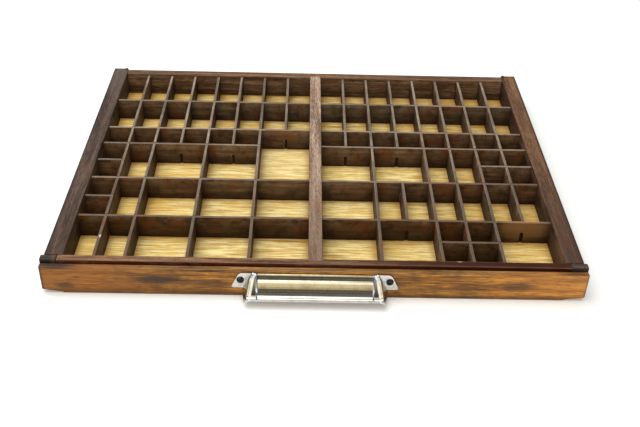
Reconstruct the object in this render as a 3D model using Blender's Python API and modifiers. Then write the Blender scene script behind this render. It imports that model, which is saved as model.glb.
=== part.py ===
"""A printer's type case: a shallow wooden tray divided into 85 boxes for metal type.

Frame: +Z up, +X to the right, +Y to the back, metres.  The origin is the middle of the flat
underside.  The label pull is on the front, at -Y.
"""
import math

import bmesh
import bpy
from mathutils import Vector

MM = 0.001
GAP = 0.3 * MM                      # clearance between neighbouring pieces
CUT = 4.0 * MM                      # how far a cutter runs past the face it opens

# ---- driving dimensions -------------------------------------------------------------------
HEIGHT = 38.4 * MM                  # underside to the top of the side rails
SIDE_RAIL_W = 19.2 * MM
BACK_RAIL_D = 12.3 * MM
FRONT_RAIL_D = 8.6 * MM
CENTRE_BAR_W = 14.4 * MM
BOARD_D = 6.5 * MM                  # front board, front to back
BOARD_H = 34.2 * MM
STRIP_T = 3.2 * MM                  # thickness of every divider strip
COLUMNS = 8                         # in each half
CELL_W = 28.65 * MM                 # clear width of a column
ROW_DEPTHS = tuple(d * MM for d in (67.2, 66.0, 33.9, 71.9, 70.8, 72.1))    # clear, back to front
PANEL_T = 7.6 * MM

STRIP_DROP = 3.0 * MM               # strip tops below the rail tops
LAP_PLAY = 0.3 * MM                 # play each side of a strip in a halved joint
LONG_END_SHY = 1.4 * MM             # a long strip ends this far short of the far face it is halved into
BACK_RAIL_DROP = 0.8 * MM
CENTRE_BAR_DROP = 0.4 * MM
SIDE_RAIL_OVERRUN = 2.0 * MM        # side rails run on past the back rail
RABBET = 3.0 * MM                   # step under the rails that holds the bottom panel
RAIL_EDGE = 0.8 * MM                # rounding of the rails' arrises
DADO = 1.5 * MM                     # how deep a strip's slot goes into a rail
BAR_DADO = 3.0 * MM                 # how deep the centre bar's slot goes

CORNER_W = 17.0 * MM                # dark blocks that close the front corners
CORNER_OVERHANG = 3.2 * MM          # blocks and board run on past the side rails
CORNER_RISE = 0.4 * MM
BOARD_FOOT_W = 22.0 * MM            # the board's lower edge steps up over this much of each end
BOARD_FOOT_STEP = 1.6 * MM          # and then slopes on up to its end
BOARD_FOOT_H = 4.8 * MM
PROUD_CORNER = Vector((3.0, 3.5, 1.0)) * MM     # little raised corner at each side rail's back end

# ---- worked out from them -----------------------------------------------------------------
COLUMN_PITCH = CELL_W + STRIP_T
HALF_W = COLUMNS * CELL_W + (COLUMNS - 1) * STRIP_T
X_BAR = CENTRE_BAR_W / 2
X_INNER = X_BAR + HALF_W
X_OUTER = X_INNER + SIDE_RAIL_W
X_BOARD = X_OUTER + CORNER_OVERHANG

ROWS = len(ROW_DEPTHS)
INNER_D = sum(ROW_DEPTHS) + (ROWS - 1) * STRIP_T
DEPTH = BOARD_D + FRONT_RAIL_D + INNER_D + BACK_RAIL_D + SIDE_RAIL_OVERRUN
Y_BOARD = -DEPTH / 2                            # front face of the front board
Y_RAIL = Y_BOARD + BOARD_D                      # front face of the front rail
Y_FRONT = Y_RAIL + FRONT_RAIL_D                 # inner face of the front rail
Y_BACK = Y_FRONT + INNER_D                      # inner face of the back rail
Y_END = DEPTH / 2                               # back end of the side rails

Z_STRIP = PANEL_T + GAP
Z_STRIP_TOP = HEIGHT - STRIP_DROP
Z_LAP = (Z_STRIP + Z_STRIP_TOP) / 2             # where crossing strips are halved together

# ---- layout of the boxes ------------------------------------------------------------------
# Columns count from a half's left side, rows from the back.  A cross strip lies on a row line
# and spans columns; a long strip lies on a column line and spans rows; a short strip halves
# the boxes of one row over a few columns.  Each entry is (line or row, first, last).
LEFT = {
    "cross": [(1, 1, 8), (2, 1, 8), (3, 1, 6), (4, 1, 8), (5, 1, 8)],
    "short": [(4, 1, 1), (5, 1, 1)],
    "long": [(1, 1, 6), (2, 1, 6), (3, 1, 3), (4, 1, 6), (5, 1, 3), (6, 1, 6), (7, 1, 2)],
}
RIGHT = {
    "cross": [(1, 1, 8), (2, 1, 8), (3, 1, 8), (4, 1, 8), (5, 1, 8)],
    "short": [(4, 7, 8), (6, 5, 6)],
    "long": [(1, 1, 3), (2, 1, 6), (3, 1, 3), (3, 5, 5), (4, 1, 6), (5, 1, 6), (6, 1, 6), (7, 1, 5)],
}

# ---- label pull ---------------------------------------------------------------------------
# Sections of the pull are drawn forward of the board's face and up from the underside.
PULL_SHEET = 1.3 * MM
PULL_TOP = HEIGHT - 7.4 * MM
PULL_FLANGE = GAP + PULL_SHEET                  # front face of the flange that lies on the board
PULL_LIP_R = 1.1 * MM
PULL_GROOVE = 3.2 * MM                          # flat band between the lip and the bulge
PULL_BULGE = Vector((13.4, 17.7)) * MM          # half axes of the bulge's elliptical section
PULL_BULGE_TURN = math.radians(70)
PULL_BEAD_R = 2.3 * MM
PULL_BEAD = Vector((17.0 * MM, HEIGHT - 28.6 * MM))
PULL_WALL_FOOT = HEIGHT - 27.0 * MM             # where the end walls' lower edges meet the board
PULL_DEPTH = 17.0 * MM
PULL_HALF_TOP = 61.7 * MM                       # half width at the top, at the pull's full depth
PULL_FLARE = 0.475                              # how much it widens on the way down
PULL_DRAFT = 0.25                               # and on the way back to the board
LABEL_RIB = 0.7 * MM                            # height of the ribs at the label's two ends
END_RIB = 1.2 * MM                              # height of the ribs along the pull's flared ends
PULL_LABEL_X = 60.4 * MM                        # where the bulge steps down to the flat facets
EAR_TOP = HEIGHT - 6.8 * MM
EAR_W = 12.0 * MM
EAR_H = 19.0 * MM
EAR_ROOT = 1.0 * MM                             # how far an ear runs into the end wall
EAR_CORNER = 3.0 * MM
SCREW_X = 76.6 * MM
SCREW_Z = HEIGHT - 15.7 * MM
SCREW_HEAD_R = 3.9 * MM
SCREW_HEAD_H = 2.1 * MM
SCREW_R = 1.8 * MM
SCREW_LENGTH = 6.8 * MM
SCREW_SLOT = 1.0 * MM

# colour, roughness, metallic
FINISHES = {
    "rail_wood": ((0.16, 0.10, 0.075), 0.6, 0.0),
    "board_wood": ((0.34, 0.15, 0.055), 0.5, 0.0),
    "divider_wood": ((0.11, 0.065, 0.04), 0.65, 0.0),
    "bar_wood": ((0.24, 0.17, 0.13), 0.6, 0.0),
    "panel_wood": ((0.72, 0.52, 0.22), 0.6, 0.0),
    "corner_wood": ((0.045, 0.038, 0.034), 0.55, 0.0),
    "nickel": ((0.72, 0.69, 0.62), 0.28, 1.0),
    "dark_steel": ((0.05, 0.045, 0.04), 0.45, 1.0),
}


# ---- scene and helpers --------------------------------------------------------------------
def clear_scene():
    for obj in list(bpy.data.objects):
        bpy.data.objects.remove(obj, do_unlink=True)


def new_collection(name):
    collection = bpy.data.collections.new(name)
    bpy.context.scene.collection.children.link(collection)
    return collection


def make_finish(name):
    colour, roughness, metallic = FINISHES[name]
    material = bpy.data.materials.new(name)
    material.use_nodes = True
    shader = material.node_tree.nodes["Principled BSDF"]
    shader.inputs["Base Color"].default_value = (*colour, 1.0)
    shader.inputs["Roughness"].default_value = roughness
    shader.inputs["Metallic"].default_value = metallic
    material.diffuse_color = (*colour, 1.0)
    return material


def add_box(mesh, low, high):
    """Add a box to a bmesh and return its vertices."""
    low, high = Vector(low), Vector(high)
    cube = bmesh.ops.create_cube(mesh, size=1.0)["verts"]
    bmesh.ops.scale(mesh, vec=high - low, verts=cube)
    bmesh.ops.translate(mesh, vec=(low + high) / 2, verts=cube)
    return cube


def mesh_object(name, mesh, collection):
    data = bpy.data.meshes.new(name)
    mesh.to_mesh(data)
    mesh.free()
    obj = bpy.data.objects.new(name, data)
    collection.objects.link(obj)
    return obj


def make_box(name, low, high, finish):
    mesh = bmesh.new()
    add_box(mesh, low, high)
    obj = mesh_object(name, mesh, PARTS)
    obj.data.materials.append(MATERIALS[finish])
    return obj


def round_edges(obj, radius, segments=2):
    bevel = obj.modifiers.new("rounded edges", "BEVEL")
    bevel.width = radius
    bevel.segments = segments
    bevel.limit_method = "ANGLE"


def hide_cutter(obj):
    obj.hide_render = True
    obj.display_type = "WIRE"


def boolean(obj, tool, operation):
    hide_cutter(tool)
    modifier = obj.modifiers.new(operation.lower(), "BOOLEAN")
    modifier.operation = operation
    modifier.object = tool


def cut_boxes(obj, boxes):
    """Cut a set of boxes, which may not overlap each other, out of a piece."""
    mesh = bmesh.new()
    for low, high in boxes:
        add_box(mesh, low, high)
    boolean(obj, mesh_object(obj.name + "_cuts", mesh, CUTTERS), "DIFFERENCE")


# ---- where the strips run -----------------------------------------------------------------
def column_line(half_start, line):
    """Middle of the long strip on a column line; lines 0 and 8 are the half's own walls."""
    if line == 0:
        return half_start
    if line == COLUMNS:
        return half_start + HALF_W
    return half_start + line * COLUMN_PITCH - STRIP_T / 2


def row_line(line):
    """Middle of the cross strip on a row line; lines 0 and 6 are the back and front rails."""
    if line == 0:
        return Y_BACK
    if line == ROWS:
        return Y_FRONT
    return Y_BACK - sum(ROW_DEPTHS[:line]) - (line - 0.5) * STRIP_T


def row_middle(row):
    back = Y_BACK - sum(ROW_DEPTHS[:row - 1]) - (row - 1) * STRIP_T
    return back - ROW_DEPTHS[row - 1] / 2


def end_reach(line, last_line, shy=0):
    """A strip sits in a slot in a wall, or is halved through the strip it stops at."""
    return DADO - GAP if line in (0, last_line) else STRIP_T / 2 - shy


def strips_of(side, half_start, layout):
    """All strips of a half, as dictionaries with a name, a direction and a run."""
    strips = []
    for kind in ("cross", "short"):
        for line, first, last in layout[kind]:
            low = column_line(half_start, first - 1) - end_reach(first - 1, COLUMNS)
            high = column_line(half_start, last) + end_reach(last, COLUMNS)
            at = row_line(line) if kind == "cross" else row_middle(line)
            word = "cross_divider" if kind == "cross" else "half_box_divider_row"
            strips.append({"name": f"{side}_{word}_{line}", "along": "x", "at": at,
                           "low": low, "high": high})
    for line, first, last in layout["long"]:
        low = row_line(last) - end_reach(last, ROWS, LONG_END_SHY)
        high = row_line(first - 1) + end_reach(first - 1, ROWS, LONG_END_SHY)
        suffix = "" if first == 1 else "_short"
        strips.append({"name": f"{side}_long_divider_{line}{suffix}", "along": "y",
                       "at": column_line(half_start, line), "low": low, "high": high})
    return strips


def meets(strip, other):
    """True where a strip and one that runs the other way are halved together."""
    return (other["low"] < strip["at"] < other["high"]) and (strip["low"] < other["at"] < strip["high"])


def notch(strip, at):
    """The half-depth notch in a strip where it crosses another at this place along it."""
    half = STRIP_T / 2 + LAP_PLAY
    side = STRIP_T
    if strip["along"] == "x":
        return ((at - half, strip["at"] - side, Z_STRIP - CUT),
                (at + half, strip["at"] + side, Z_LAP + GAP / 2))
    return ((strip["at"] - side, at - half, Z_LAP - GAP / 2),
            (strip["at"] + side, at + half, HEIGHT + CUT))


def make_strip(strip, others):
    """A divider strip with softened top edges, halved where it crosses other strips."""
    half = STRIP_T / 2
    if strip["along"] == "x":
        low = (strip["low"], strip["at"] - half, Z_STRIP)
        high = (strip["high"], strip["at"] + half, Z_STRIP_TOP)
    else:
        low = (strip["at"] - half, strip["low"], Z_STRIP)
        high = (strip["at"] + half, strip["high"], Z_STRIP_TOP)
    mesh = bmesh.new()
    add_box(mesh, low, high)
    length = strip["high"] - strip["low"]
    top_edges = [edge for edge in mesh.edges
                 if all(vert.co.z > Z_LAP for vert in edge.verts) and edge.calc_length() > length - GAP]
    bmesh.ops.bevel(mesh, geom=top_edges, offset=0.5 * MM, segments=2, profile=0.5, affect="EDGES")
    obj = mesh_object(strip["name"], mesh, PARTS)
    obj.data.materials.append(MATERIALS["divider_wood"])
    crossings = [other["at"] for other in others
                 if other["along"] != strip["along"] and meets(strip, other)]
    cut_boxes(obj, [notch(strip, at) for at in crossings])


# ---- frame --------------------------------------------------------------------------------
def wall_slots(strips, along, wall, side):
    """Slots in a wall for the strips that end in it; side is +1 where the wall is past +X or +Y."""
    boxes = []
    for strip in strips:
        end = strip["high"] if side > 0 else strip["low"]
        if strip["along"] != along or abs(end - wall) > DADO:
            continue
        near, far = sorted((wall - side * CUT, wall + side * DADO))
        across = (strip["at"] - STRIP_T / 2 - GAP, strip["at"] + STRIP_T / 2 + GAP)
        bottom, top = PANEL_T - GAP, Z_STRIP_TOP + GAP
        if along == "x":
            boxes.append(((near, across[0], bottom), (far, across[1], top)))
        else:
            boxes.append(((across[0], near, bottom), (across[1], far, top)))
    return boxes


def cut_rabbet(obj, low, high):
    """Step cut along a rail's lower inner edge, where the bottom panel sits."""
    cut_boxes(obj, [((*low, -CUT), (*high, PANEL_T + GAP))])


def make_side_rail(name, side, strips):
    x_low, x_high = sorted((side * X_INNER, side * X_OUTER))
    rail = make_box(name, (x_low, Y_FRONT + GAP, 0), (x_high, Y_END, HEIGHT), "rail_wood")
    round_edges(rail, RAIL_EDGE)
    x_near, x_far = sorted((side * (X_INNER - CUT), side * (X_INNER + RABBET)))
    cut_rabbet(rail, (x_near, Y_FRONT - CUT), (x_far, Y_BACK + RABBET))
    cut_boxes(rail, wall_slots(strips, "x", side * X_INNER, side))
    add_proud_corner(rail, side)


def add_proud_corner(rail, side):
    """The rail's inner back corner stands a little proud of its top."""
    size = PROUD_CORNER
    x_low, x_high = sorted((side * (X_INNER + RAIL_EDGE), side * (X_INNER + RAIL_EDGE + size.x)))
    y_high = Y_END - RAIL_EDGE
    mesh = bmesh.new()
    add_box(mesh, (x_low, y_high - size.y, HEIGHT - size.z), (x_high, y_high, HEIGHT + size.z))
    boolean(rail, mesh_object(rail.name + "_corner", mesh, CUTTERS), "UNION")


def make_back_rail(strips):
    x = X_INNER - GAP
    low, high = (-x, Y_BACK, 0), (x, Y_BACK + BACK_RAIL_D, HEIGHT - BACK_RAIL_DROP)
    rail = make_box("back_rail", low, high, "rail_wood")
    round_edges(rail, RAIL_EDGE)
    cut_rabbet(rail, (-X_OUTER, Y_BACK - CUT), (X_OUTER, Y_BACK + RABBET))
    cut_boxes(rail, wall_slots(strips, "y", Y_BACK, 1))
    cut_boxes(rail, [bar_slot(Y_BACK, 1)])


def make_front_rail(strips):
    x = X_BOARD - CORNER_W - GAP
    rail = make_box("front_rail", (-x, Y_RAIL, 0), (x, Y_FRONT, HEIGHT), "rail_wood")
    round_edges(rail, RAIL_EDGE)
    cut_rabbet(rail, (-X_OUTER, Y_FRONT - RABBET), (X_OUTER, Y_FRONT + CUT))
    cut_boxes(rail, wall_slots(strips, "y", Y_FRONT, -1))
    cut_boxes(rail, [bar_slot(Y_FRONT, -1)])


def bar_slot(wall, side):
    near, far = sorted((wall - side * CUT, wall + side * BAR_DADO))
    x = X_BAR + GAP
    return (-x, near, PANEL_T - GAP), (x, far, HEIGHT + CUT)


def make_centre_bar(strips):
    reach = BAR_DADO - GAP
    low = (-X_BAR, Y_FRONT - reach, PANEL_T + GAP)
    high = (X_BAR, Y_BACK + reach, HEIGHT - CENTRE_BAR_DROP)
    bar = make_box("centre_bar", low, high, "bar_wood")
    round_edges(bar, 0.7 * MM)
    slots = wall_slots(strips, "x", -X_BAR, 1) + wall_slots(strips, "x", X_BAR, -1)
    cut_boxes(bar, slots)


def make_bottom_panel():
    x = X_INNER + RABBET - GAP
    low = (-x, Y_FRONT - RABBET + GAP, 0)
    high = (x, Y_BACK + RABBET - GAP, PANEL_T)
    make_box("bottom_panel", low, high, "panel_wood")


def make_corner_block(name, side):
    inner = X_BOARD - CORNER_W
    x_low, x_high = sorted((side * inner, side * X_BOARD))
    block = make_box(name, (x_low, Y_RAIL, 0), (x_high, Y_FRONT - GAP, HEIGHT + CORNER_RISE), "corner_wood")
    round_edges(block, 1.4 * MM, segments=3)


def make_front_board():
    low, high = (-X_BOARD, Y_BOARD, 0), (X_BOARD, Y_RAIL - GAP, BOARD_H)
    board = make_box("front_board", low, high, "board_wood")
    round_edges(board, 1.2 * MM, segments=3)
    for side in (-1, 1):
        boolean(board, make_foot_cut(side), "DIFFERENCE")
        bore(board, side * SCREW_X, SCREW_Z)


def make_foot_cut(side):
    """Wedge that lifts the board's lower edge at one end."""
    mesh = bmesh.new()
    wedge = add_box(mesh, (-BOARD_FOOT_W, Y_BOARD - CUT, -CUT), (0, Y_RAIL + CUT, BOARD_FOOT_H))
    for vert in wedge:
        if vert.co.z > 0 and vert.co.x < 0:
            vert.co.z = BOARD_FOOT_STEP
        if vert.co.x == 0:
            vert.co.x = CUT
            vert.co.z += CUT * (BOARD_FOOT_H - BOARD_FOOT_STEP) / BOARD_FOOT_W
        vert.co.x = side * (X_BOARD + vert.co.x)
    bmesh.ops.recalc_face_normals(mesh, faces=mesh.faces)
    return mesh_object(f"front_board_foot_{'left' if side < 0 else 'right'}", mesh, CUTTERS)


def bore(obj, x, z):
    """Clearance hole for a pull screw, square to the board."""
    mesh = bmesh.new()
    add_rod(mesh, SCREW_R + GAP, Y_BOARD - CUT, Y_RAIL + CUT, x, z)
    name = f"{obj.name}_bore_{'left' if x < 0 else 'right'}"
    boolean(obj, mesh_object(name, mesh, CUTTERS), "DIFFERENCE")


def add_rod(mesh, radius, y_low, y_high, x, z):
    """A round rod along Y in a bmesh."""
    rod = bmesh.ops.create_cone(mesh, cap_ends=True, segments=24, radius1=radius, radius2=radius,
                                depth=y_high - y_low)["verts"]
    for vert in rod:
        vert.co = Vector((vert.co.x + x, vert.co.z + (y_low + y_high) / 2, z - vert.co.y))
    return rod


# ---- label pull ---------------------------------------------------------------------------
def arc(centre, radius, start, stop, steps):
    """Points on a circle in a section; angles in degrees, 0 forward and 90 up."""
    points = []
    for step in range(steps + 1):
        angle = math.radians(start + (stop - start) * step / steps)
        points.append(centre + radius * Vector((math.cos(angle), math.sin(angle))))
    return points


def bulge(offset, steps=9):
    """The bulge's elliptical section, moved inward by an offset."""
    axes = PULL_BULGE - Vector((offset, offset))
    top = PULL_TOP - 2 * PULL_LIP_R - PULL_GROOVE
    centre = Vector((PULL_FLANGE, top - PULL_BULGE.y))
    points = []
    for step in range(steps + 1):
        turn = PULL_BULGE_TURN * (0.05 + 0.95 * step / steps)
        points.append(centre + Vector((axes.x * math.sin(turn), axes.y * math.cos(turn))))
    return points


def facet(offset):
    """The flat section beside the bulge: the line between its two ends, moved inward by an offset."""
    curve = bulge(0)
    first, run = curve[0], curve[-1] - curve[0]
    inward = offset * Vector((run.y, -run.x)).normalized()
    last_step = len(curve) - 1
    return [first + run * step / last_step + inward for step in range(len(curve))]


def pull_section(filled, flat=False):
    """Front outline of the pull, top edge to bead, and its foot on the board.

    A filled section has no groove under the lip.  A flat one has a facet in place of the bulge.
    """
    lip_centre = Vector((PULL_FLANGE, PULL_TOP - PULL_LIP_R))
    groove_foot = Vector((PULL_FLANGE, PULL_TOP - 2 * PULL_LIP_R - PULL_GROOVE))
    hollow = PULL_BEAD + PULL_BEAD_R * Vector((-1.1, 1.25))
    lip_end = -70
    if filled:
        groove_foot.x += PULL_LIP_R
        hollow = PULL_BEAD + PULL_BEAD_R * Vector((-0.75, 1.4))
        lip_end = -10
    front = [Vector((GAP, PULL_TOP))] + arc(lip_centre, PULL_LIP_R, 90, lip_end, 5) + [groove_foot]
    front += facet(0) if flat else bulge(0)
    front += [hollow] + arc(PULL_BEAD, PULL_BEAD_R, 110, -120, 8)
    return front, [Vector((GAP, PULL_WALL_FOOT))]


def raised(points, height):
    """Section points moved out along the outline's normal; the first one stays on the board."""
    moved = [points[0]]
    for before, point, after in zip(points, points[1:], points[2:] + [points[-1]]):
        run = (after - before).normalized()
        moved.append(point + height * Vector((-run.y, run.x)))
    return moved


def pull_half_width(point):
    """The pull's end walls are planes that flare downwards and back to the board."""
    forward, up = point
    return PULL_HALF_TOP + PULL_FLARE * (PULL_TOP - up) + PULL_DRAFT * (PULL_DEPTH - forward)


def add_loft(mesh, sections):
    """Skin closed sections of equal length into a solid."""
    rings = [[mesh.verts.new(point) for point in section] for section in sections]
    count = len(rings[0])
    for ring, following in zip(rings, rings[1:]):
        for index in range(count):
            after = (index + 1) % count
            mesh.faces.new((ring[index], ring[after], following[after], following[index]))
    mesh.faces.new(list(reversed(rings[0])))
    mesh.faces.new(rings[-1])
    bmesh.ops.recalc_face_normals(mesh, faces=mesh.faces)


def placed(section, x_of):
    """Section points in space; x_of gives each one's X from its place in the section."""
    return [Vector((x_of(point), Y_BOARD - point.x, point.y)) for point in section]


def pull_stations():
    """Sections along the right half of the pull: place, height raised, filled, flat."""
    label_rib = [(1.7 * MM, 0, False, False), (0.9 * MM, LABEL_RIB, True, False),
                 (0.1 * MM, 0, True, False), (0, 0, True, True)]
    end_rib = [(2.9 * MM, 0, True, True), (2.3 * MM, END_RIB, True, True), (0.6 * MM, END_RIB, True, True),
               (0, 0, True, True)]
    stations = []
    for inset, height, filled, flat in label_rib:
        stations.append((lambda point, inset=inset: PULL_LABEL_X - inset, height, filled, flat))
    for inset, height, filled, flat in end_rib:
        stations.append((lambda point, inset=inset: pull_half_width(point) - inset, height, filled, flat))
    return stations


def make_pull():
    right = []
    for x_of, height, filled, flat in pull_stations():
        front, foot = pull_section(filled, flat)
        right.append(placed(raised(front, height) + foot, x_of))
    left = [[Vector((-point.x, point.y, point.z)) for point in section] for section in reversed(right)]
    mesh = bmesh.new()
    add_loft(mesh, left + right)
    pull = mesh_object("label_pull", mesh, PARTS)
    pull.data.materials.append(MATERIALS["nickel"])
    for name, inner, half_width in (
            ("bulge", bulge(PULL_SHEET), lambda point: PULL_LABEL_X - 2 * PULL_SHEET),
            ("facets", facet(PULL_SHEET), lambda point: pull_half_width(point) - PULL_SHEET)):
        boolean(pull, make_pull_hollow(name, inner, half_width), "DIFFERENCE")
    for side in (-1, 1):
        boolean(pull, make_ear(side), "UNION")
    for side in (-1, 1):
        bore(pull, side * SCREW_X, SCREW_Z)


def make_pull_hollow(name, inner, half_width):
    """Space behind a part of the front, open at the back and below, where the fingers go."""
    section = [Vector((-CUT, inner[0].y))] + inner
    section += [Vector((inner[-1].x, -CUT)), Vector((-CUT, -CUT))]
    mesh = bmesh.new()
    ends = [placed(section, lambda point, side=side: side * half_width(point)) for side in (-1, 1)]
    add_loft(mesh, ends)
    return mesh_object("label_pull_hollow_" + name, mesh, CUTTERS)


def make_ear(side):
    """A flat tab beside the pull that slopes with its end, with rounded outer corners."""
    mesh = bmesh.new()
    add_box(mesh, (-EAR_ROOT, Y_BOARD - PULL_FLANGE, EAR_TOP - EAR_H), (EAR_W, Y_BOARD - GAP, EAR_TOP))
    corners = [edge for edge in mesh.edges if all(vert.co.x > 0 for vert in edge.verts)
               and edge.calc_length() < 2 * PULL_SHEET]
    bmesh.ops.bevel(mesh, geom=corners, offset=EAR_CORNER, segments=5, profile=0.5, affect="EDGES")
    for vert in mesh.verts:
        vert.co.x = side * (vert.co.x + pull_half_width((0, vert.co.z)))
    bmesh.ops.recalc_face_normals(mesh, faces=mesh.faces)
    return mesh_object(f"label_pull_ear_{'left' if side < 0 else 'right'}", mesh, CUTTERS)


def make_screw(name, side):
    """Round-headed slotted wood screw through a pull ear into the front board."""
    face = Y_BOARD - PULL_FLANGE - GAP
    x = side * SCREW_X
    mesh = bmesh.new()
    head = bmesh.ops.create_uvsphere(mesh, u_segments=24, v_segments=10, radius=1.0)["verts"]
    for vert in head:
        forward = max(vert.co.z, 0.0) * SCREW_HEAD_H
        vert.co = Vector((x + vert.co.x * SCREW_HEAD_R, face - forward, SCREW_Z + vert.co.y * SCREW_HEAD_R))
    bmesh.ops.remove_doubles(mesh, verts=mesh.verts, dist=0.01 * MM)
    bmesh.ops.recalc_face_normals(mesh, faces=mesh.faces)
    screw = mesh_object(name, mesh, PARTS)
    screw.data.materials.append(MATERIALS["dark_steel"])
    shank = bmesh.new()
    add_rod(shank, SCREW_R, face - GAP, face + SCREW_LENGTH, x, SCREW_Z)
    boolean(screw, mesh_object(name + "_shank", shank, CUTTERS), "UNION")
    half = SCREW_SLOT / 2
    cut_boxes(screw, [((x - SCREW_HEAD_R - CUT, face - SCREW_HEAD_H - CUT, SCREW_Z - half),
                       (x + SCREW_HEAD_R + CUT, face - SCREW_HEAD_H + SCREW_SLOT, SCREW_Z + half))])


# ---- build --------------------------------------------------------------------------------
clear_scene()
PARTS = new_collection("type_case")
CUTTERS = new_collection("cutters")
MATERIALS = {finish: make_finish(finish) for finish in FINISHES}

left_strips = strips_of("left", -X_INNER, LEFT)
right_strips = strips_of("right", X_BAR, RIGHT)
all_strips = left_strips + right_strips

make_side_rail("side_rail_left", -1, left_strips)
make_side_rail("side_rail_right", 1, right_strips)
make_back_rail(all_strips)
make_front_rail(all_strips)
make_corner_block("front_corner_left", -1)
make_corner_block("front_corner_right", 1)
make_centre_bar(all_strips)
make_bottom_panel()
make_front_board()
for half_strips in (left_strips, right_strips):
    for strip in half_strips:
        make_strip(strip, half_strips)
make_pull()
make_screw("screw_left", -1)
make_screw("screw_right", 1)
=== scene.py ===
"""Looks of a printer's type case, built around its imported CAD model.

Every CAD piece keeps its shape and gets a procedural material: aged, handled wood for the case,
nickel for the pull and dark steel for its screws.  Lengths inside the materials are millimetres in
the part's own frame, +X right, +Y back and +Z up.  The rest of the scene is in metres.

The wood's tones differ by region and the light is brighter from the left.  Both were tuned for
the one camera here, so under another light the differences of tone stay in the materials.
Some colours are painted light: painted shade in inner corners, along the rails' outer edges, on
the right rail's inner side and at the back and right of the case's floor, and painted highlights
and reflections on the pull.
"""
import math

import bpy
from mathutils import Matrix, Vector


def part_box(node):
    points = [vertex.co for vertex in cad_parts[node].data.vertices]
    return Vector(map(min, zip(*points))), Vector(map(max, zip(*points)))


MM = 0.001
X, Y, Z = 0, 1, 2

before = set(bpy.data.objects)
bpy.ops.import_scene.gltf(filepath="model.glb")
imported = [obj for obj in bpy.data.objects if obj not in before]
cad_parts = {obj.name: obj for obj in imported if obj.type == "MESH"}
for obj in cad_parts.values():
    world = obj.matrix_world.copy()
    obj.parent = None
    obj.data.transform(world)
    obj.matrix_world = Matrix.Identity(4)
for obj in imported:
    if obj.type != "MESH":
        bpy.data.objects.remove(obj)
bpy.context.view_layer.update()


# ---- colours ------------------------------------------------------------------------------
def srgb(red, green, blue):
    """A display colour, 0 to 255, as linear light with alpha."""
    def linear(value):
        value /= 255
        return value / 12.92 if value <= 0.04045 else ((value + 0.055) / 1.055) ** 2.4
    return (linear(red), linear(green), linear(blue), 1.0)


def grey(level):
    """A neutral tone in linear light."""
    return (level, level, level, 1.0)


# ---- shader graphs ------------------------------------------------------------------------
class Graph:
    """Adds nodes to a node tree and hands back their outputs."""

    def __init__(self, tree):
        self.tree = tree

    def add(self, kind, **settings):
        node = self.tree.nodes.new(kind)
        for key, value in settings.items():
            setattr(node, key, value)
        return node

    def put(self, socket, value):
        if isinstance(value, bpy.types.NodeSocket):
            self.tree.links.new(value, socket)
        else:
            socket.default_value = value

    def math(self, operation, first, second=0.0, third=0.0):
        node = self.add("ShaderNodeMath", operation=operation)
        for socket, value in zip(node.inputs, (first, second, third)):
            self.put(socket, value)
        return node.outputs[0]

    def times(self, first, second):
        """The product, as for a mask and its strength."""
        return self.math("MULTIPLY", first, second)

    def vector(self, operation, first, second=None, scale=None):
        node = self.add("ShaderNodeVectorMath", operation=operation)
        self.put(node.inputs[0], first)
        if second is not None:
            self.put(node.inputs[1], second)
        if scale is not None:
            self.put(node.inputs["Scale"], scale)
        return node.outputs["Value" if operation == "LENGTH" else "Vector"]

    def part(self, vector, axis):
        """A vector's component along one axis."""
        node = self.add("ShaderNodeSeparateXYZ")
        self.put(node.inputs[0], vector)
        return node.outputs[axis]

    def smooth(self, value, start, stop, low=0.0, high=1.0):
        """Goes smoothly from low to high as value goes from start to stop."""
        node = self.add("ShaderNodeMapRange", interpolation_type="SMOOTHSTEP")
        for socket, setting in zip(node.inputs, (value, start, stop, low, high)):
            self.put(socket, setting)
        return node.outputs[0]

    def mix(self, factor, under, over):
        node = self.add("ShaderNodeMix", data_type="RGBA", blend_type="MIX")
        self.put(node.inputs[0], factor)
        self.put(node.inputs[6], under)
        self.put(node.inputs[7], over)
        return node.outputs[2]

    def noise(self, vector, size, detail=3.0, roughness=0.55, distortion=0.0):
        """Noise whose largest features are about size millimetres; 0 to 1, mostly near 0.5."""
        node = self.add("ShaderNodeTexNoise")
        self.put(node.inputs["Vector"], vector)
        node.inputs["Scale"].default_value = 1 / size
        node.inputs["Detail"].default_value = detail
        node.inputs["Roughness"].default_value = roughness
        node.inputs["Distortion"].default_value = distortion
        return node.outputs[0]

    def ramp(self, value, stops):
        """Colour that runs through (place, colour) stops."""
        node = self.add("ShaderNodeValToRGB")
        self.put(node.inputs[0], value)
        elements = node.color_ramp.elements
        while len(elements) < len(stops):
            elements.new(0.5)
        for element, (place, colour) in zip(elements, stops):
            element.position = place
            element.color = colour
        return node.outputs[0]


class Material(Graph):
    """A new material and its graph, with the place in the part's frame in millimetres."""

    def __init__(self, name):
        self.material = bpy.data.materials.new(name)
        self.material.use_nodes = True
        super().__init__(self.material.node_tree)
        self.shader = self.tree.nodes["Principled BSDF"]
        place = self.add("ShaderNodeTexCoord").outputs["Object"]
        self.place = self.vector("SCALE", place, scale=1 / MM)

    def normal(self, axis):
        """The surface normal's component along one axis."""
        return self.part(self.add("ShaderNodeNewGeometry").outputs["Normal"], axis)

    def bump(self, height, depth):
        """Bump whose height of 1 stands for depth in millimetres."""
        node = self.add("ShaderNodeBump")
        node.inputs["Distance"].default_value = depth * MM
        self.put(node.inputs["Height"], height)
        self.put(self.shader.inputs["Normal"], node.outputs[0])


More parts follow.
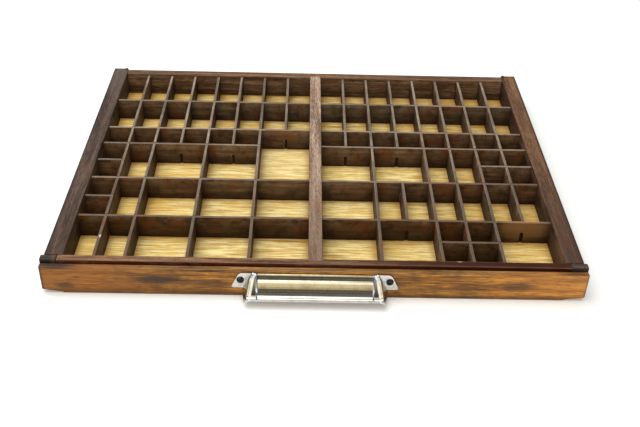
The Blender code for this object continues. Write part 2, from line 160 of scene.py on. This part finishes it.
# ---- wood ---------------------------------------------------------------------------------
# A pair says where something starts and where it is full.  Lengths are millimetres.
GRAIN_SHIFT = (31.7, 17.3, 47.1)       # how far each piece's grain lies from the one before
BLOTCH_SHIFT = (13.0, 71.0, 5.0)       # the same for its blotches
BLOTCH_STEP = (400.0, 90.0, 20.0)      # and from one size of blotch to the next
TOP_FACE = (0.5, 0.8)                  # how far up a normal points, for tops
END_FACE = (0.6, 0.8)                  # how far along the grain it points, for end grain
NEARER_Y = (80.0, -180.0)              # where tops take on the front_top tone
PORE_NOISE = (0.56, 0.7)
BLOTCH_NOISE = (0.45, 0.68)
SCUFF_NOISE = (0.46, 0.62)
SCUFF_MM = 11.0
SCUFF_Z = (20.0, 33.0)
SCUFF_COLOUR = srgb(134, 115, 92)
RAGGED_MM = 5.0                        # noise that breaks up outlines of marks, of the darkening towards the bottom and of wear
MARK_SHRINK = 0.5                      # makes up for that noise in the outline of a mark
MARK_EDGE = (0.35, 1.1)                # where a mark starts to fade and where it ends
LOW_DARKENING_NOISE = (0.25, 0.6)
LOW_DARKENING_LEAST = 0.6                       # the least darkening as a share of the most
CORNER_OPENNESS = (0.95, 0.35)         # how open a spot is, for painted shade in corners
CORNER_SAMPLES = 8
WEAR_EDGE = 0.3                        # how far past its ragged reach the wear ends
WORN_DEPTH = (4.0, 1.5)                # below a piece's top
ROUGH_SPAN, ROUGH_DROP = 0.25, 0.12    # roughness runs over this span from this far under a look's
FIGURE_RELIEF, PORE_RELIEF = 0.6, -0.7         # heights, where that of the fibres is 1


class Wood(Material):
    """Aged wood for one CAD node.  Each layer takes the colour so far and adds to it."""

    def __init__(self, node, look, axis, seed):
        super().__init__(node + "_wood")
        self.look, self.axis, self.seed = look, axis, seed
        self.low, self.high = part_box(node)
        self.upward = self.smooth(self.normal(Z), *TOP_FACE)
        self.sideward = self.math("SUBTRACT", 1.0, self.upward)
        self.endward = self.smooth(self.math("ABSOLUTE", self.normal(axis)), *END_FACE)
        self.height = self.part(self.place, Z)
        figure_place = self.along_grain(look["stretch"])
        fibre_place = self.along_grain(look["fibre_stretch"])
        self.figure = self.noise(figure_place, look["figure_mm"],
                                 detail=4.0, roughness=0.6, distortion=look["wave"])
        self.fibre = self.noise(fibre_place, look["fibre_mm"],
                                detail=3.0, roughness=0.6, distortion=0.2)
        self.ragged = self.noise(fibre_place, RAGGED_MM, detail=4.0, roughness=0.65)
        pores = self.noise(fibre_place, look["pore_mm"], detail=2.0, roughness=0.5)
        self.pores = self.smooth(pores, *PORE_NOISE)

    def along_grain(self, stretch):
        """The place squeezed along the grain, so that noise in it makes long streaks."""
        squeeze = [1.0, 1.0, 1.0]
        squeeze[self.axis] = 1 / stretch
        place = self.vector("MULTIPLY", self.place, tuple(squeeze))
        return self.vector("ADD", place, tuple(self.seed * step for step in GRAIN_SHIFT))

    def edge_distance(self):
        """Distance to the nearest edge of the box the piece fills, in millimetres.

        On a face it is the second smallest of the distances to the faces along X, Y and Z.
        """
        past_low = self.vector("SUBTRACT", self.place, tuple(self.low / MM))
        past_high = self.vector("SUBTRACT", tuple(self.high / MM), self.place)
        inside = self.vector("MINIMUM", past_low, past_high)
        x, y, z = (self.part(inside, axis) for axis in (X, Y, Z))
        smaller, larger = self.math("MINIMUM", x, y), self.math("MAXIMUM", x, y)
        return self.math("MAXIMUM", smaller, self.math("MINIMUM", larger, z))

    def grain(self):
        """Clean wood, with one set of tones for the sides and another for the top."""
        share = self.look["fibre"]
        streak = self.math("MULTIPLY_ADD", self.fibre, share, self.times(self.figure, 1 - share))
        streak = self.smooth(streak, *self.look["contrast"])
        side_tone = self.ramp(streak, list(zip((0.0, 0.5, 1.0), self.look["side"])))
        top_tone = self.ramp(streak, list(zip((0.0, 0.5, 1.0), self.look["top"])))
        amount, tone = self.look["front_top"]
        nearer = self.smooth(self.part(self.place, Y), *NEARER_Y)
        top_tone = self.mix(self.times(nearer, amount), top_tone, tone)
        return self.mix(self.upward, side_tone, top_tone)

    def blotches(self, colour):
        """Soft stains of several sizes, with a strength of their own on top."""
        drift = self.vector("ADD", self.place, tuple(self.seed * step for step in BLOTCH_SHIFT))
        for number, (size, amount, tone) in enumerate(self.look["blotches"]):
            place = self.vector("ADD", drift, tuple(number * step for step in BLOTCH_STEP))
            blotch = self.noise(place, size, detail=4.0, roughness=0.62)
            blotch = self.smooth(blotch, *BLOTCH_NOISE)
            top_amount = amount * self.look["top_stains"]
            strength = self.smooth(self.upward, 0.0, 1.0, amount, top_amount)
            colour = self.mix(self.times(blotch, strength), colour, tone)
        return colour

    def tints(self, colour):
        """Changes of tone from one place to another along an axis."""
        for direction, start, stop, amount, tone in self.look.get("tints", ()):
            tint = self.smooth(self.part(self.place, direction), start, stop)
            colour = self.mix(self.times(tint, amount), colour, tone)
        return colour

    def marks(self, colour):
        """Single marks at set places: soft ellipsoids with ragged outlines."""
        for centre, size, amount, tone in self.look.get("marks", ()):
            away = self.vector("SUBTRACT", self.place, centre)
            away = self.vector("LENGTH", self.vector("DIVIDE", away, size))
            away = self.math("ADD", self.ragged, self.math("SUBTRACT", away, MARK_SHRINK))
            colour = self.mix(self.smooth(away, *MARK_EDGE, amount, 0.0), colour, tone)
        return colour

    def open_pores(self, colour):
        """Short dark lines in the darkest side tone."""
        return self.mix(self.times(self.pores, self.look["pores"]), colour, self.look["side"][0])

    def scuffs(self, colour):
        """Pale rubbed streaks on the upper part of the sides."""
        scuffs = self.along_grain(self.look["scuff_stretch"])
        scuffs = self.noise(scuffs, SCUFF_MM, detail=5.0, roughness=0.7)
        scuffs = self.smooth(scuffs, *SCUFF_NOISE)
        scuffs = self.times(scuffs, self.smooth(self.height, *SCUFF_Z))
        scuffs = self.times(scuffs, self.sideward)
        return self.mix(self.times(scuffs, self.look["scuffs"]), colour, SCUFF_COLOUR)

    def low_darkening(self, colour):
        """Darker towards the bottom of the sides, and darker end grain."""
        low_darkening = self.smooth(self.height, *self.look["low_darkening_z"], 1.0, 0.0)
        low_darkening = self.times(low_darkening, self.smooth(self.ragged, *LOW_DARKENING_NOISE, LOW_DARKENING_LEAST, 1.0))
        low_darkening = self.times(low_darkening, self.sideward)
        tone = self.look["low_and_end_tone"]
        colour = self.mix(self.times(low_darkening, self.look["low_darkening"]), colour, tone)
        return self.mix(self.times(self.endward, self.look["ends"]), colour, tone)

    def corners(self, colour):
        """Painted shade in inner corners, darker where little is open around a spot, on the pieces
        whose look asks for it.
        """
        if "corners" not in self.look:
            return colour
        reach, amount, tone = self.look["corners"]
        corner = self.add("ShaderNodeAmbientOcclusion", samples=CORNER_SAMPLES)
        corner.inputs["Distance"].default_value = reach * MM
        painted_corner_shade = self.smooth(corner.outputs["AO"], *CORNER_OPENNESS, 0.0, amount)
        return self.mix(painted_corner_shade, colour, tone)

    def worn_edges(self, colour):
        """Paler wood where the top edges are rubbed."""
        wear_mm = self.look["wear_mm"]
        reach = self.times(self.ragged, wear_mm * 2)
        past_wear = self.math("SUBTRACT", self.edge_distance(), reach)
        wear = self.smooth(past_wear, -wear_mm, WEAR_EDGE, self.look["wear"], 0.0)
        top = self.high.z / MM
        start, full = (top - depth for depth in WORN_DEPTH)
        wear = self.times(wear, self.smooth(self.height, start, full))
        return self.mix(wear, colour, self.look["worn_colour"])


def wood(node, look, axis, seed):
    """Aged wood for one CAD node: figure, fibres, stains, darkening towards the bottom, painted
    shade in inner corners and worn edges.
    """
    graph = Wood(node, look, axis, seed)
    colour = graph.grain()
    for layer in (graph.blotches, graph.tints, graph.marks, graph.open_pores, graph.scuffs,
                  graph.low_darkening, graph.corners, graph.worn_edges):
        colour = layer(colour)
    graph.put(graph.shader.inputs["Base Color"], colour)
    rough = graph.math("MULTIPLY_ADD", graph.fibre, ROUGH_SPAN, look["rough"] - ROUGH_DROP)
    graph.put(graph.shader.inputs["Roughness"], rough)
    graph.shader.inputs["Specular IOR Level"].default_value = look["gloss"]
    relief = graph.math("ADD", graph.fibre, graph.times(graph.figure, FIGURE_RELIEF))
    relief = graph.math("MULTIPLY_ADD", graph.pores, PORE_RELIEF, relief)
    graph.bump(relief, look["relief_mm"])
    return graph.material


# ---- how each wooden piece looks ----------------------------------------------------------
# side, top          dark, middle and light tone of the sides and of the top
# figure_mm          width of the figure; fibre_mm and pore_mm are the same
# stretch            how many times longer the figure is; fibre_ and scuff_stretch are the same
# wave               how much the figure wanders
# fibre              share of fibres against figure
# contrast           where between them the dark and the light tone are reached
# blotches           (size, amount, tone); on tops the amount is times top_stains
# tints              (axis, start, full, amount, tone)
# marks              (centre, half size, amount, tone)
# front_top          (amount, tone) that tops take on towards the front
# corners            (reach, amount, tone) of painted shade in inner corners
# low_darkening_z    heights where the darkening towards the bottom is full and where it ends;
#                    low_and_end_tone also tones the ends
# wear_mm            width of the worn edges; relief_mm is the depth of the surface
# pores, scuffs, low_darkening, ends and wear are amounts from 0 to 1
WALL = (srgb(70, 51, 36), srgb(124, 95, 71), srgb(166, 137, 110))
GREY_WALL = (srgb(66, 56, 46), srgb(120, 103, 84), srgb(164, 146, 124))
FRONT_WALL = (srgb(56, 36, 20), srgb(98, 68, 40), srgb(130, 96, 60))
SHADED_WALL = (srgb(40, 28, 19), srgb(72, 53, 37), srgb(100, 77, 56))
RUST, OLIVE, SOOT = srgb(128, 72, 36), srgb(104, 88, 62), srgb(30, 21, 14)

RAIL = dict(
    side=SHADED_WALL,
    top=(srgb(34, 26, 22), srgb(70, 54, 45), srgb(102, 84, 71)),
    figure_mm=5.0, fibre_mm=1.2, pore_mm=0.5, wear_mm=0.9, relief_mm=0.14,
    stretch=22.0, fibre_stretch=9.0, scuff_stretch=5.0, wave=0.6,
    fibre=0.4, contrast=(0.38, 0.62), pores=0.6,
    blotches=[(34.0, 0.5, srgb(92, 58, 40)), (18.0, 0.45, srgb(62, 53, 48))], top_stains=1.0,
    front_top=(0.0, SOOT), scuffs=0.35, wear=0.6, worn_colour=srgb(132, 112, 94),
    low_darkening_z=(4.0, 34.0), low_darkening=0.75, low_and_end_tone=SOOT, ends=0.5, rough=0.62, gloss=0.2)

LEFT_RAIL = dict(
    RAIL,
    # The last tint darkens the outer edge: painted shade.
    tints=[(Y, 120.0, 200.0, 0.35, srgb(122, 108, 100)),
           (Y, 60.0, -200.0, 0.25, srgb(92, 62, 46)),
           (X, -273.5, -278.0, 0.75, srgb(36, 29, 25))])

RIGHT_RAIL = dict(
    RAIL,
    # The sides are a darker copy of the shaded wall tones: painted shade on the inner side.
    side=(srgb(32, 19, 13), srgb(60, 38, 28), srgb(84, 57, 42)),
    top=(srgb(62, 39, 24), srgb(111, 78, 51), srgb(141, 103, 69)),
    blotches=[(40.0, 0.45, srgb(92, 53, 33)), (18.0, 0.4, srgb(75, 56, 43))],
    front_top=(0.75, srgb(68, 49, 41)), worn_colour=srgb(156, 122, 88),
    # The tint darkens the outer edge: painted shade.
    tints=[(X, 273.0, 277.5, 0.8, srgb(47, 32, 24))])

BACK_RAIL = dict(
    RAIL,
    side=WALL,
    top=(srgb(71, 42, 24), srgb(117, 80, 50), srgb(150, 110, 73)),
    blotches=[(40.0, 0.45, srgb(110, 64, 38)), (18.0, 0.45, srgb(92, 70, 50))],
    # The tint darkens the back edge: painted shade.
    tints=[(Y, 208.0, 211.5, 0.8, srgb(58, 44, 27))])

FRONT_RAIL = dict(
    RAIL,
    side=(srgb(56, 16, 6), srgb(78, 30, 14), srgb(92, 42, 22)),
    top=(srgb(78, 50, 34), srgb(128, 93, 68), srgb(156, 121, 92)),
    blotches=[(40.0, 0.4, srgb(108, 66, 48)), (18.0, 0.4, srgb(98, 80, 62))],
    scuffs=0.0, gloss=0.1,
    tints=[(X, -60.0, 160.0, 0.92, srgb(54, 18, 2))],
    marks=[((148.5, -199.0, 38.4), (4.5, 2.0, 3.0), 1.0, srgb(216, 178, 132))])

CENTRE_BAR = dict(
    RAIL,
    top=(srgb(106, 80, 64), srgb(168, 140, 121), srgb(202, 178, 158)),
    blotches=[(34.0, 0.4, srgb(141, 103, 80)), (14.0, 0.35, srgb(124, 107, 94))],
    fibre_stretch=7.0, fibre=0.5, front_top=(0.75, srgb(106, 80, 62)))

FRONT_BOARD = dict(
    RAIL,
    side=(srgb(66, 38, 6), srgb(162, 101, 28), srgb(222, 156, 58)),
    top=(srgb(87, 58, 26), srgb(139, 99, 48), srgb(174, 134, 76)),
    figure_mm=3.4, pore_mm=0.9, fibre_stretch=14.0, contrast=(0.34, 0.65), pores=0.7,
    blotches=[(60.0, 0.4, srgb(117, 80, 32)), (16.0, 0.5, srgb(97, 66, 29))],
    low_darkening_z=(0.5, 9.0), low_darkening=0.7, low_and_end_tone=srgb(70, 50, 25),
    ends=0.85, rough=0.5, gloss=0.3, scuffs=0.0,
    tints=[(X, -140.0, -240.0, 0.5, srgb(198, 118, 42)),
           (X, 140.0, 262.0, 0.45, srgb(222, 148, 72)),
           (X, -277.0, -280.5, 0.85, srgb(58, 38, 26)),
           (X, 278.5, 281.0, 0.7, srgb(70, 42, 28)),
           (X, -70.0, -130.0, 0.35, srgb(80, 50, 14))],
    marks=[((-162.0, -215.0, 19.5), (30.0, 30.0, 7.0), 0.85, srgb(57, 42, 26)),
           ((-105.0, -215.0, 15.0), (30.0, 30.0, 6.0), 0.75, srgb(68, 48, 29)),
           ((-257.0, -215.0, 10.0), (14.0, 30.0, 5.0), 0.8, srgb(73, 53, 34)),
           ((-268.0, -214.0, 36.0), (32.0, 30.0, 5.0), 0.95, srgb(54, 37, 32)),
           ((266.0, -215.0, 35.5), (26.0, 30.0, 2.5), 0.95, srgb(49, 32, 23)),
           ((208.0, -215.0, 17.5), (24.0, 30.0, 7.0), 0.75, srgb(80, 58, 32)),
           ((120.0, -215.0, 12.0), (40.0, 30.0, 6.0), 0.5, srgb(96, 66, 34))])

BOTTOM_PANEL = dict(
    RAIL,
    side=(srgb(120, 90, 50), srgb(180, 140, 80), srgb(210, 170, 110)),
    top=(srgb(160, 106, 28), srgb(240, 208, 122), srgb(255, 245, 186)),
    figure_mm=0.8, fibre_mm=0.8, pore_mm=0.8, relief_mm=0.08,
    stretch=48.0, fibre_stretch=24.0, wave=0.04,
    fibre=0.25, contrast=(0.38, 0.58), pores=0.65,
    blotches=[(70.0, 0.4, srgb(224, 176, 74)), (20.0, 0.3, srgb(214, 164, 80))],
    ends=0.0, scuffs=0.0, wear=0.0, low_darkening=0.0,
    corners=(11.0, 0.6, srgb(146, 90, 18)),
    # The tints towards the back and to the right darken the floor there: painted shade.
    tints=[(X, -110.0, -262.0, 0.35, srgb(232, 184, 72)),
           (Y, 80.0, 200.0, 0.3, srgb(176, 128, 30)),
           (X, 60.0, 262.0, 0.35, srgb(214, 160, 56))],
    marks=[((-35.0, 40.0, 8.0), (60.0, 60.0, 30.0), 0.3, srgb(252, 230, 176))])

CORNER = dict(
    RAIL,
    side=(srgb(28, 26, 24), srgb(44, 40, 36), srgb(60, 56, 50)),
    top=(srgb(36, 34, 31), srgb(58, 54, 49), srgb(80, 74, 66)),
    blotches=[(8.0, 0.5, srgb(44, 36, 31))],
    scuffs=0.0, wear=0.4, worn_colour=srgb(96, 88, 80), low_darkening=0.3)

LEFT_CORNER = dict(CORNER, tints=[(X, -271.0, -267.0, 0.7, srgb(88, 68, 56))])

RIGHT_CORNER = dict(
    CORNER,
    side=(srgb(44, 33, 30), srgb(62, 49, 44), srgb(80, 65, 58)),
    top=(srgb(56, 43, 39), srgb(82, 65, 59), srgb(102, 84, 76)))

STRIP = dict(
    RAIL,
    side=WALL,
    top=(srgb(74, 62, 54), srgb(140, 126, 112), srgb(182, 168, 152)),
    fibre_mm=1.6, wear_mm=0.3, relief_mm=0.06, scuff_stretch=1.5,
    fibre=0.3, contrast=(0.26, 0.76), pores=0.15,
    blotches=[(22.0, 0.6, OLIVE), (28.0, 0.75, RUST), (12.0, 0.55, SOOT)], top_stains=0.45,
    front_top=(0.85, srgb(88, 72, 62)), scuffs=0.7, wear=0.3, worn_colour=srgb(164, 150, 134),
    corners=(14.0, 0.55, srgb(36, 22, 12)), low_darkening_z=(6.0, 34.0), low_darkening=0.8, ends=0.9)

FLECKED_STRIP = dict(
    STRIP, marks=[((-227.6, -162.2, 35.4), (1.6, 3.6, 3.0), 0.9, srgb(232, 214, 186))])

# The look of each piece that isn't like the other strips, and the axis its grain runs along.
LOOKS = {
    "side_rail_left": (LEFT_RAIL, Y),
    "side_rail_right": (RIGHT_RAIL, Y),
    "back_rail": (BACK_RAIL, X),
    "front_rail": (FRONT_RAIL, X),
    "centre_bar": (CENTRE_BAR, Y),
    "front_board": (FRONT_BOARD, X),
    "bottom_panel": (BOTTOM_PANEL, X),
    "front_corner_left": (LEFT_CORNER, X),
    "front_corner_right": (RIGHT_CORNER, X),
    "left_long_divider_1": (FLECKED_STRIP, Y),
}

FRONT_ROW_BACK = -0.1          # cross strips in front of this line are the front row's back walls
BACK_ROWS_FRONT = 0.1          # cross strips behind this line are greyer
PALER_END = "right_cross_divider_5"                     # the strip whose right end is paler
PALE_PATCH = ((230.0, -126.5, 26.0), (36.0, 30.0, 20.0), 0.65, srgb(170, 130, 88))


def look_of(node):
    """How a wooden piece looks, and which way its grain runs."""
    if node in LOOKS:
        return LOOKS[node]
    low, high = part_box(node)
    if high.x - low.x < high.y - low.y:
        return dict(STRIP, side=SHADED_WALL), Y
    look = STRIP
    if high.y < FRONT_ROW_BACK:
        look = dict(STRIP, side=FRONT_WALL)
    if low.y > BACK_ROWS_FRONT:
        look = dict(STRIP, side=GREY_WALL)
    if node == PALER_END:
        look = dict(look, marks=[PALE_PATCH])
    return look, X


# ---- metal --------------------------------------------------------------------------------
# A pair says where something starts and where it is full.  Lengths are millimetres.
PULL_HALF = 131.05                     # the pull's half width at y = 0 and z = 0
PULL_PER_Y, PULL_PER_Z = 0.25, -0.475          # and how it changes along Y and Z
RIB_WIDTH = 2.7                        # of the ribs along its flared ends
END_RIB = (RIB_WIDTH, RIB_WIDTH - 0.8)         # in from the ends
EAR = (0.2, -0.6)                      # out past the ends
LABEL_HALF = 60.4                      # half width of the label face
LABEL_RIB_X = LABEL_HALF - 0.9
LABEL_RIB = (1.0, 0.5)                 # away from the middle of the rib
FACET_X = (LABEL_HALF, LABEL_HALF + 0.6)
FACET_END = (RIB_WIDTH - 0.3, RIB_WIDTH + 0.4)
FACET_Z = (13.0, 26.0)                 # from the darker foot of a facet to its top
GROOVE_FOOT_Z, GROOVE_TOP_Z = (25.6, 26.4), (28.9, 28.3)
UNDER_BULGE_Z = (17.2, 15.6)
LIP_Z = (13.6, 12.8)
SIDE_FACE = (0.82, 0.95)               # how far sideways a normal points
SIDE_AMOUNT = 0.8
BRUSHED_SQUEEZE = (1 / 15.0, 1.0, 1.0)
BRUSHED_MM, TARNISH_MM, DENT_MM = 0.7, 9.0, 6.0
NICKEL_ROUGH, TARNISH_ROUGH, BRUSHED_ROUGH = 0.12, 0.08, 0.06          # the last two come on top
NICKEL_RELIEF_MM = 0.006
PATCH_NOISE = (0.4, 0.7)
RUBBED_MM = 1.6
STEEL_ROUGH = (0.6, 0.4)               # black and rubbed
STEEL_RELIEF_MM = 0.03

# clean and tarnished
BULGE_TONES = (srgb(171, 163, 142), srgb(155, 145, 122))
LIP_TONES = (srgb(198, 195, 191), srgb(177, 174, 169))
# Ribs: rubbed, and with a painted highlight.
RUBBED_RIB_HIGHLIGHTS = (srgb(216, 224, 241), srgb(197, 203, 220))
EAR_TONES = (srgb(206, 204, 200), srgb(164, 166, 158))
# Painted shade in the groove, and dark painted reflections under the bulge and on faces that point
# sideways.
GROOVE_SHADE, UNDER_BULGE_REFLECTION, SIDE_REFLECTION = srgb(116, 130, 156), srgb(92, 88, 80), srgb(84, 72, 60)
# Dark painted reflection on the facets, lighter towards the top.
FACET_REFLECTIONS = (srgb(46, 48, 58), srgb(122, 124, 120))          # foot and top
STEEL_TONES = (srgb(46, 42, 40), srgb(92, 86, 80))             # black and rubbed


def nickel():
    """Old nickel plate, warm on the bulge and tarnished in patches, rubbed bright on the lip.
    The ribs are rubbed and carry a painted highlight; the groove carries painted shade, and under
    the bulge, on the facets and on faces that point sideways the plate carries dark painted
    reflections.
    """
    graph = Material("nickel")
    x, y, z = (graph.part(graph.place, axis) for axis in (X, Y, Z))
    across = graph.math("ABSOLUTE", x)
    brushed = graph.vector("MULTIPLY", graph.place, BRUSHED_SQUEEZE)
    brushed = graph.noise(brushed, BRUSHED_MM, detail=2.0)
    patches = graph.noise(graph.place, TARNISH_MM, detail=4.0, roughness=0.6)
    patches = graph.smooth(patches, *PATCH_NOISE)

    colour = graph.mix(patches, *BULGE_TONES)
    # Painted shade in the groove, then a dark painted reflection under the bulge.
    groove = graph.times(graph.smooth(z, *GROOVE_FOOT_Z), graph.smooth(z, *GROOVE_TOP_Z))
    colour = graph.mix(groove, colour, GROOVE_SHADE)
    colour = graph.mix(graph.smooth(z, *UNDER_BULGE_Z), colour, UNDER_BULGE_REFLECTION)

    half_width = graph.math("MULTIPLY_ADD", z, PULL_PER_Z, PULL_HALF)
    half_width = graph.math("MULTIPLY_ADD", y, PULL_PER_Y, half_width)
    from_end = graph.math("SUBTRACT", half_width, across)
    # A dark painted reflection on the facets.
    facet = graph.times(graph.smooth(across, *FACET_X), graph.smooth(from_end, *FACET_END))
    facet_reflection = graph.ramp(graph.smooth(z, *FACET_Z), list(zip((0.0, 1.0), FACET_REFLECTIONS)))
    colour = graph.mix(facet, colour, facet_reflection)
    colour = graph.mix(graph.smooth(z, *LIP_Z), colour, graph.mix(patches, *LIP_TONES))

    # A painted highlight on the rubbed ribs.
    from_label_rib = graph.math("ABSOLUTE", graph.math("SUBTRACT", across, LABEL_RIB_X))
    label_rib = graph.smooth(from_label_rib, *LABEL_RIB)
    rib = graph.math("MAXIMUM", graph.smooth(from_end, *END_RIB), label_rib)
    colour = graph.mix(rib, colour, graph.mix(patches, *RUBBED_RIB_HIGHLIGHTS))
    colour = graph.mix(graph.smooth(from_end, *EAR), colour, graph.mix(patches, *EAR_TONES))
    # A dark painted reflection on faces that point sideways.
    sideward = graph.math("ABSOLUTE", graph.normal(X))
    colour = graph.mix(graph.smooth(sideward, *SIDE_FACE, 0.0, SIDE_AMOUNT), colour, SIDE_REFLECTION)

    graph.put(graph.shader.inputs["Base Color"], colour)
    graph.shader.inputs["Metallic"].default_value = 1.0
    rough = graph.math("MULTIPLY_ADD", patches, TARNISH_ROUGH, NICKEL_ROUGH)
    rough = graph.math("MULTIPLY_ADD", brushed, BRUSHED_ROUGH, rough)
    graph.put(graph.shader.inputs["Roughness"], rough)
    dents = graph.noise(graph.place, DENT_MM, detail=2.0)
    graph.bump(graph.math("ADD", brushed, dents), NICKEL_RELIEF_MM)
    return graph.material


def dark_steel():
    """Blackened screw steel, a little brighter where it is rubbed."""
    graph = Material("dark_steel")
    rubbed = graph.noise(graph.place, RUBBED_MM, detail=4.0, roughness=0.65)
    rubbed = graph.smooth(rubbed, *PATCH_NOISE)
    graph.put(graph.shader.inputs["Base Color"], graph.mix(rubbed, *STEEL_TONES))
    graph.shader.inputs["Metallic"].default_value = 1.0
    graph.put(graph.shader.inputs["Roughness"], graph.smooth(rubbed, 0.0, 1.0, *STEEL_ROUGH))
    graph.bump(rubbed, STEEL_RELIEF_MM)
    return graph.material


def paint_pieces():
    """Gives every CAD piece its material."""
    steel = dark_steel()
    metals = {"label_pull": nickel(), "screw_left": steel, "screw_right": steel}
    for seed, node in enumerate(sorted(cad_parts)):
        if node in metals:
            material = metals[node]
        else:
            material = wood(node, *look_of(node), seed)
        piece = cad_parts[node]
        piece.data.materials.clear()
        piece.data.materials.append(material)


# ---- studio -------------------------------------------------------------------------------
FLOOR_SIZE = 12.0
FLOOR_DROP = 0.0003
FLOOR_TONES = ((0.9, 0.92, 0.95, 1.0), (0.93, 0.94, 0.96, 1.0))
FLOOR_NOISE = (0.3, 0.7)
FLOOR_MM = 900.0               # size of its tones
FLOOR_ROUGH = 0.9
FLOOR_GLOW = 0.18

# name, place, width, depth and power of each light
SOFTBOXES = (("key_softbox", (-0.38, 0.12, 1.0), 0.9, 0.5, 4.6),
             ("front_softbox", (-0.1, -0.3, 1.0), 1.0, 0.5, 2.2))

WORLD_STRENGTH = 1.68
# (turn, tone); the turn about the X axis goes from the front horizon, 0, over the top to the back
# horizon, 1
WORLD_BANDS = ((0.0, (0.14, 0.14, 0.13)), (0.15, (0.135, 0.13, 0.115)), (0.19, (0.66, 0.56, 0.4)),
               (0.3, (0.95, 0.84, 0.6)), (0.42, (0.85, 0.84, 0.78)), (0.53, (0.8, 0.8, 0.79)),
               (0.58, (0.4, 0.42, 0.4)), (1.0, (0.8, 0.8, 0.82)))
# where each side's own tone starts and is full, as a direction's share of X, and its level
WORLD_SIDES = ((0.1, 0.65, 0.05), (-0.35, -0.8, 0.5))

CAMERA_PLACE = (-0.01362, -0.92784, 0.62921)
CAMERA_LENS = 51.33            # focal length in millimetres
CAMERA_YAW, CAMERA_DOWN, CAMERA_ROLL = (math.radians(angle) for angle in (-1.312, 53.842, 1.792))
CAMERA_NEAR = 0.01


def make_floor():
    """A white floor that glows a little, just under the case."""
    bpy.ops.mesh.primitive_plane_add(size=FLOOR_SIZE, location=(0, 0, -FLOOR_DROP))
    floor = bpy.context.object
    floor.name = "studio_floor"
    graph = Material("white_sweep")
    tone = graph.smooth(graph.noise(graph.place, FLOOR_MM, detail=2.0), *FLOOR_NOISE)
    graph.put(graph.shader.inputs["Base Color"], graph.mix(tone, *FLOOR_TONES))
    graph.shader.inputs["Roughness"].default_value = FLOOR_ROUGH
    graph.shader.inputs["Specular IOR Level"].default_value = 0.0
    graph.shader.inputs["Emission Color"].default_value = grey(1.0)
    graph.shader.inputs["Emission Strength"].default_value = FLOOR_GLOW
    floor.data.materials.append(graph.material)


def add_softbox(name, place, width, depth, power):
    """A rectangular light that faces straight down."""
    light = bpy.data.lights.new(name, "AREA")
    light.shape = "RECTANGLE"
    light.size, light.size_y = width, depth
    light.energy = power
    box = bpy.data.objects.new(name, light)
    box.location = place
    bpy.context.scene.collection.objects.link(box)


def make_world():
    """A lopsided room that lights the case; the camera itself sees plain white.

    It is dim in front, then gold, near white overhead, greyer just past that and near white again
    behind.  To the right it is almost black, and far to the left it is half as bright as white.
    """
    world = bpy.data.worlds.new("studio")
    bpy.context.scene.world = world
    world.use_nodes = True
    graph = Graph(world.node_tree)
    background = graph.tree.nodes["Background"]
    background.inputs["Strength"].default_value = WORLD_STRENGTH
    direction = graph.add("ShaderNodeTexCoord").outputs["Generated"]
    ahead = graph.times(graph.part(direction, Y), -1.0)
    turn = graph.math("ARCTAN2", graph.part(direction, Z), ahead)
    stops = [(place, (*tone, 1.0)) for place, tone in WORLD_BANDS]
    room = graph.ramp(graph.math("DIVIDE", turn, math.pi), stops)
    sideways = graph.part(direction, X)
    for start, full, level in WORLD_SIDES:
        room = graph.mix(graph.smooth(sideways, start, full), room, grey(level))
    seen = graph.add("ShaderNodeLightPath").outputs["Is Camera Ray"]
    graph.put(background.inputs["Color"], graph.mix(seen, room, grey(1.0)))


def make_camera():
    """The view that the looks were tuned for."""
    data = bpy.data.cameras.new("camera")
    data.lens = CAMERA_LENS
    data.clip_start = CAMERA_NEAR
    camera = bpy.data.objects.new("camera", data)
    turn = (Matrix.Rotation(CAMERA_YAW, 3, "Z") @ Matrix.Rotation(CAMERA_DOWN, 3, "X")
            @ Matrix.Rotation(CAMERA_ROLL, 3, "Z"))
    camera.location = CAMERA_PLACE
    camera.rotation_euler = turn.to_euler()
    bpy.context.scene.collection.objects.link(camera)
    bpy.context.scene.camera = camera


paint_pieces()
make_floor()
make_world()
for softbox in SOFTBOXES:
    add_softbox(*softbox)
make_camera()
bpy.context.scene.view_settings.view_transform = "Standard"
